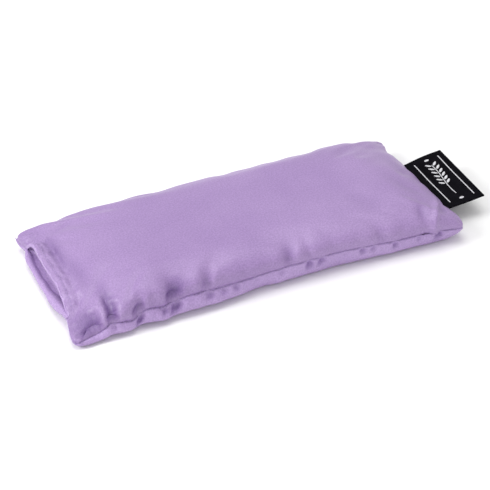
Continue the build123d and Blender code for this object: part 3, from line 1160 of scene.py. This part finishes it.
def make_upper_hem(top_grid):
    """The top panel's edge rolled over and turned 8 mm under, with its row of stitches."""
    keep = (top_grid[0, :, 1] > MOUTH_LOW) & (top_grid[0, :, 1] < MOUTH_HIGH)
    strip = 20  # the panel's first rows, which the hem lies along
    cloth, outward = top_grid[:strip, keep], grid_normals(top_grid)[:strip, keep]
    inland = run_in(cloth, 0, False)
    inward = cloth[1] - cloth[0]
    inward /= np.linalg.norm(inward, axis=-1, keepdims=True)
    each = np.arange(cloth.shape[1])
    rows = []
    for run, lift in HEM_ROLL:
        k = np.argmax(inland >= max(run, 0), axis=0)
        spot = cloth[k, each] + lift * outward[k, each]
        rows.append(spot + min(run, 0) * inward)
    # the hem roll wears the lighter satin copy: painted light
    hem = cloth_piece(
        "mouth_hem_roll", np.stack(rows), PAINTED_LIGHT_SATIN, HEM_WALL, 0, flip=True, levels=2,
    )
    stands_for("mouth_upper_hem")
    sinks(hem)

    inland = run_in(top_grid, 0, False)[:, ROWS // 2]
    row = np.argmin(np.abs(inland - HEM_STITCH_INLAND))
    line = top_grid[row] + 0.1 * grid_normals(top_grid)[row]
    line = line[(line[:, 1] > MOUTH_LOW + 1) & (line[:, 1] < MOUTH_HIGH - 1)]
    stitches = stitched("mouth_hem_stitching", [line], 3.0, 2.4, COVER_THREAD)
    stands_for("mouth_hem_stitches")
    sinks(stitches)


# Places round the lower lip, where the flap rolls over it: out from the lip, and up.
OVER_LIP = [(0.4, -1.5), (0.95, -0.6), (0.95, 0.4), (0.3, 1.2), (-0.9, 1.35), (-2.1, 0.8)]
FLAP_MARGIN = 0.4  # between the flap and each end of the mouth
FLAP_STEPS = 64


def make_flap(top_grid, bottom_grid):
    """The facing that closes the mouth: from the lower lip up to behind the upper hem."""
    lip, hem = bottom_grid[0], top_grid[0]
    y = np.linspace(MOUTH_LOW + FLAP_MARGIN, MOUTH_HIGH - FLAP_MARGIN, FLAP_STEPS)
    low = np.stack([np.interp(y, lip[:, 1], lip[:, k]) for k in range(3)], -1)
    high = np.stack([np.interp(y, hem[:, 1], hem[:, k]) for k in range(3)], -1)
    plump = 1.0 + 0.85 * band(y, -15, 12) + 0.15 * waves(y, (13, 21), SEED + 17)
    within = smooth(-1, 6, np.minimum(y - y[0], y[-1] - y))
    plump = plump * (0.25 + 0.75 * within)
    rows = []
    for out, up in OVER_LIP:
        rows.append(low + np.stack([-out * plump, 0 * y, up * plump], -1))
    low[:, 0] += 2.9 * plump
    low[:, 2] -= 0.2 * plump
    tip = high.copy()
    tip[:, 0] += 1.0 + 4.0 * within
    tip[:, 2] -= 0.9 * within
    tip[:, 2] = np.maximum(tip[:, 2], low[:, 2] + 0.4 + 0.8 * within)
    ripples = 0.3 * mouth_open(y) * (1 + 0.5 * waves(y, (23, 41), SEED + 14))
    for u in np.linspace(0, 1, 17):
        row = low.copy()
        row[:, 0] += (tip - low)[:, 0] * (1 - (1 - u) ** 2.2)
        row[:, 0] += math.sin(2.4 * math.pi * u) * ripples
        row[:, 2] += (tip - low)[:, 2] * u**2.1
        rows.append(row)
    # the flap wears the lighter satin copy: painted light
    flap = cloth_piece("tucked_flap", np.stack(rows), PAINTED_LIGHT_SATIN, SATIN, 0, flip=True)
    stands_for("closure_flap")
    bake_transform(flap)


ALLOWANCE_ROWS = 9  # steps of the panel that the turned-in allowance lies along
ALLOWANCE_WALL = 0.5
LABEL_ROOM = 1  # between the label and the seam's stitches beside it
THREAD_PROUD = 0.12  # how far the thread lies out of the long seams


def make_seams(bottom_grid):
    """Lockstitching in the groove between the panels, and the allowances turned in."""
    front, back = bottom_grid[:, 0], bottom_grid[:, -1]
    mouth, label = bottom_grid[0], bottom_grid[-1]
    out = np.array([0, THREAD_PROUD, 0])
    from_label = label[:, 1] - LABEL_MIDDLE
    beside = LABEL_WIDTH / 2 + LABEL_ROOM
    rows = {
        "front_seam_thread": front[3:-3] - out,
        "back_seam_thread": back[4:-4] + out,
        "label_end_thread_front": label[from_label < -beside][2:],
        "label_end_thread_back": label[from_label > beside][:-2],
        "mouth_corner_thread_front": mouth[mouth[:, 1] < MOUTH_LOW][3:],
        "mouth_corner_thread_back": mouth[mouth[:, 1] > MOUTH_HIGH][:-3],
    }
    for node_name, line in rows.items():
        piece = stitched(
            node_name + "_stitches", [line], STITCH_PITCH, STITCH_LENGTH, COVER_THREAD,
        )
        stands_for(node_name)
        sinks(piece)

    inside = bottom_grid + (SATIN + 0.3) * grid_normals(bottom_grid)
    strips = {
        "front_seam_allowance": inside[8:-8, :ALLOWANCE_ROWS],
        "back_seam_allowance": inside[8:-8, -ALLOWANCE_ROWS:],
        "label_end_seam_allowance": inside[-ALLOWANCE_ROWS:, 6:-6],
    }
    for node_name, grid in strips.items():
        piece = cloth_piece(
            node_name + "_plies", grid, SATIN_CLOTH, ALLOWANCE_WALL, 0, flip=True, levels=0,
        )
        stands_for(node_name)
        sinks(piece)


# ---- woven label ----
LABEL_ROOT = np.array([label_low[0], LABEL_MIDDLE, 9.9])
LABEL_LENGTH = 24.6
LABEL_TILT = math.radians(6)
LABEL_BEHIND = 1.6  # how far the label's face runs in behind the seam
LABEL_PLY = 0.27  # from the middle of the folded label to the middle of each ply
LABEL_WALL, TAIL_WALL = 0.3, 0.28
LABEL_FOLD = 0.42  # radius of the fold at its free edge
TAIL_NEAR, TAIL_FAR = -1.9, -6  # where the sewn-in ends lie behind the seam


def on_label(along, across, lift):
    """A place on the label: along from its root, across from its middle, above its mid ply.
    It curls up towards its back corner."""
    share = np.clip(along / LABEL_LENGTH, 0, 1.1)
    curl = share**2 * (0.9 + 0.9 * across / (LABEL_WIDTH / 2))
    bow = np.sin(share * math.pi) * (1.4 * smooth(0, LABEL_WIDTH / 2, across) - 0.25)
    up = lift + curl + bow
    c, s = math.cos(LABEL_TILT), math.sin(LABEL_TILT)
    local = np.stack([along * c - up * s, across, along * s + up * c], -1)
    return LABEL_ROOT + local


def label_strip(along, lift):
    """A strip over the label's whole width, through places along and above it."""
    across = np.linspace(-LABEL_WIDTH / 2, LABEL_WIDTH / 2, 45)
    full = np.ones_like(across)
    return on_label(along[:, None] * full, across + 0 * along[:, None], lift[:, None] * full)


def make_label():
    """The folded ribbon, its two sewn-in ends and its pattern."""
    straight = np.linspace(-LABEL_BEHIND, LABEL_LENGTH - 1.2, 26)
    bend = np.linspace(math.pi / 2, -math.pi / 2, 9)
    fold = LABEL_LENGTH - LABEL_FOLD + LABEL_FOLD * np.cos(bend)
    ply = np.full(len(straight), LABEL_PLY)
    along = np.concatenate([straight, fold, straight[::-1]])
    lift = np.concatenate([ply, LABEL_FOLD * np.sin(bend), -ply])
    strip = label_strip(along, lift)
    label = cloth_piece("folded_woven_label", strip, DAMASK, LABEL_WALL, 0)
    stands_for("woven_label")
    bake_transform(label)

    for name, side, start, end in (
        ("upper", 1, TAIL_NEAR, TAIL_FAR), ("lower", -1, TAIL_FAR, TAIL_NEAR),
    ):
        strip = label_strip(np.linspace(start, end, 5), np.full(5, side * LABEL_PLY))
        tail = cloth_piece(f"label_tail_{name}", strip, DAMASK, TAIL_WALL, 0, flip=True, levels=0)
        stands_for("label_tail")
        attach(tail, "cover")

    make_label_pattern(LABEL_PLY + 0.2)


BUDS, BUD_PITCH = 6, 3.6
BORDER_INSET = 4.2  # from the label's root and from its fold
BORDER_SHORT = 4.5  # between a border's end and the label's side
DOT_PLACE, DOT_RADIUS = 20.5, 1.3


def make_label_pattern(lift):
    """White pattern yarn: a lavender sprig between two borders, and a dot at each end."""
    lines, lays, shares = [], [], []

    def lay_line(points, share):
        """Yarns laid side by side, across a line on the label."""
        along, across = np.array(points, float).T
        line = on_label(along, across, np.full(len(along), lift))
        up = on_label(along, across, np.full(len(along), lift + 1)) - line
        lines.append(line)
        lays.append(np.cross(up, np.gradient(line, axis=0)))
        shares.append(np.asarray(share, float) + 0 * along)

    def stem(across):
        return LABEL_LENGTH / 2 + 0.8 * math.sin(across / 6)

    half = LABEL_WIDTH / 2 - BORDER_SHORT
    for along in (BORDER_INSET, LABEL_LENGTH - BORDER_INSET):
        lay_line([(along, a) for a in np.linspace(-half, half, 60)], 0.55)
    lay_line([(stem(a), a) for a in np.linspace(-15, 15, 40)], 0.45)
    u = np.linspace(0, 1, 9)
    for n in range(BUDS):
        a = 14.5 - BUD_PITCH * n
        for side in (-1, 1):
            bud = [(stem(a) + side * (0.9 + 2.6 * k), a + 2.4 * k) for k in u]
            lay_line(bud, 0.25 + 1.1 * np.sin(np.pi * (0.12 + 0.8 * u)))
    u = np.linspace(-1, 1, 9)
    for end in (-DOT_PLACE, DOT_PLACE):
        dot = [(LABEL_LENGTH / 2 + DOT_RADIUS * k, end) for k in u]
        lay_line(dot, 0.2 + 1.4 * np.sqrt(1 - (0.95 * u) ** 2))
    pattern = stitched("label_pattern_yarn", lines, 0.27, 1.5, LABEL_YARN, lays, shares)
    stands_for("label_ornament")
    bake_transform(pattern)


# ---- insert ----
CLOSING_INLAND = 2.2  # from the insert's mouth end to its whipstitches
FILLING_GAP = 44


def make_insert(cover):
    """The calico bag, its stitches and its flax, under the cover's top."""
    top_grid, bottom_grid = insert_surfaces(cover)
    for name, grid, flip, node_name in (
        ("calico_top_panel", top_grid, False, "insert_top_panel"),
        ("calico_bottom_panel", bottom_grid, True, "insert_bottom_panel"),
    ):
        panel = cloth_piece(name, grid, CALICO_CLOTH, CALICO, flip=flip)
        stands_for(node_name)
        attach(panel, "insert")

    ring = np.concatenate([
        top_grid[:, 0], top_grid[-1, 1:], top_grid[::-1, -1][1:], top_grid[0, ::-1][1:],
    ])
    seam = stitched("insert_seam_stitches", [ring], 2.8, 2.4, INSERT_THREAD)
    stands_for("insert_seam_thread")
    inland = run_in(top_grid, 0, False)[:, INSERT_ROWS // 2]
    row = np.argmin(np.abs(inland - CLOSING_INLAND))
    line = top_grid[row] + THREAD_PROUD * grid_normals(top_grid)[row]
    line = line[np.abs(line[:, 1]) < FILLING_GAP / 2]
    slant = np.gradient(line, axis=0) + np.array([1.6, 0, 0.6])
    closing = stitched("insert_closing_whipstitch", [line], 2.6, 3.2, INSERT_THREAD, [slant])
    stands_for("insert_closing_stitches")
    for piece in (seam, closing):
        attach(piece, "insert")

    under_calico = top_grid - (CALICO + 1.1) * grid_normals(top_grid)
    over_calico = bottom_grid + (CALICO + 0.9) * grid_normals(bottom_grid)
    make_seeds(under_calico[8:-8, 6:-6], over_calico[8:-8, 6:-6])


FLAX = {  # seeds to the square metre, and a seed's size in metres
    "Density": 62000.0, "Seed Length": 0.0044, "Seed Width": 0.0023, "Seed Thickness": 0.0007,
}


def make_seeds(top_grid, bottom_grid):
    """The heap of flax that fills the bag: a packed core with whole seeds at its surface."""
    middle = (top_grid[..., 2] + bottom_grid[..., 2]) / 2
    top_grid, bottom_grid = top_grid.copy(), bottom_grid.copy()
    top_grid[..., 2] = np.maximum(top_grid[..., 2], middle + 0.2)
    bottom_grid[..., 2] = np.minimum(bottom_grid[..., 2], middle - 0.2)
    columns, rows = top_grid.shape[0] - 1, top_grid.shape[1] - 1
    count = (columns + 1) * (rows + 1)
    rim = [i * (rows + 1) for i in range(columns + 1)]
    rim += [columns * (rows + 1) + j for j in range(1, rows + 1)]
    rim += [i * (rows + 1) + rows for i in range(columns - 1, -1, -1)]
    rim += list(range(rows - 1, 0, -1))
    faces = grid_faces(columns, rows)
    faces += [tuple(v + count for v in face[::-1]) for face in grid_faces(columns, rows)]
    for a, b in zip(rim, rim[1:] + rim[:1]):
        faces.append((b, a, a + count, b + count))
    points = np.concatenate([top_grid.reshape(-1, 3), bottom_grid.reshape(-1, 3)])
    for name in ("packed_seed_core", "loose_flax_seeds"):
        piece = new_piece(name, points, faces, SEED_SKIN)
        if name == "loose_flax_seeds":
            grown(piece, SEEDS, FLAX | {"Seed": SEED, "Material": SEED_SKIN})
        stands_for("seed_fill")
        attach(piece, "insert")


# ---- stage ----
FLOOR_REACH, FLOOR_GAP = 4.0, 0.0002
LIGHTS = [  # name, place, size and power
    ("key", (-0.92, 0.14, 0.72), 0.45, 6.0),
    ("overhead", (0.0, 0.20, 1.2), 1.0, 5.5),
    ("low front", (-0.2, -1.0, 0.25), 0.5, 1.2),
]
ROOM_LIGHT = 0.68
AZIMUTH, ELEVATION = math.radians(-24.68), math.radians(35.77)
DISTANCE = 0.932
FOCAL_LENGTH = 119.0
SHIFT = (0.011, -0.0004)


def make_stage():
    """A plain floor, a hair below the pillow."""
    mesh = bpy.data.meshes.new("floor")
    corners = [(-1, -1), (1, -1), (1, 1), (-1, 1)]
    places = [(x * FLOOR_REACH, y * FLOOR_REACH, 0) for x, y in corners]
    mesh.from_pydata(places, [], [(0, 1, 2, 3)])
    floor = bpy.data.objects.new("floor", mesh)
    bpy.context.scene.collection.objects.link(floor)
    floor.data.materials.append(table_material())
    floor.location.z = -FLOOR_GAP


def make_light():
    """An even room and three round soft boxes, all aimed at the pillow's middle."""
    world = bpy.data.worlds.new("studio")
    world.use_nodes = True
    world.node_tree.nodes["Background"].inputs["Color"].default_value = (1, 1, 1, 1)
    world.node_tree.nodes["Background"].inputs["Strength"].default_value = ROOM_LIGHT
    bpy.context.scene.world = world
    for name, place, size, power in LIGHTS:
        lamp = bpy.data.lights.new(name, "AREA")
        lamp.shape = "DISK"
        lamp.size = size
        lamp.energy = power
        light = bpy.data.objects.new(name, lamp)
        light.location = place
        light.rotation_euler = (-Vector(place)).to_track_quat("-Z", "Y").to_euler()
        bpy.context.scene.collection.objects.link(light)
    bpy.context.scene.view_settings.view_transform = "Standard"


def make_camera():
    """The three-quarter view, from the front and the mouth's side."""
    level = math.cos(ELEVATION)
    back = Vector((math.sin(AZIMUTH) * level, -math.cos(AZIMUTH) * level, math.sin(ELEVATION)))
    lens = bpy.data.cameras.new("camera")
    lens.lens = FOCAL_LENGTH
    lens.shift_x, lens.shift_y = SHIFT
    camera = bpy.data.objects.new("camera", lens)
    camera.location = back * DISTANCE
    camera.rotation_mode = "QUATERNION"
    camera.rotation_quaternion = (-back).to_track_quat("-Z", "Y")
    bpy.context.scene.collection.objects.link(camera)
    bpy.context.scene.camera = camera


top_cloth, bottom_cloth = make_cover()
make_upper_hem(top_cloth)
make_flap(top_cloth, bottom_cloth)
make_seams(bottom_cloth)
make_label()
make_insert(top_cloth)
make_stage()
make_light()
make_camera()
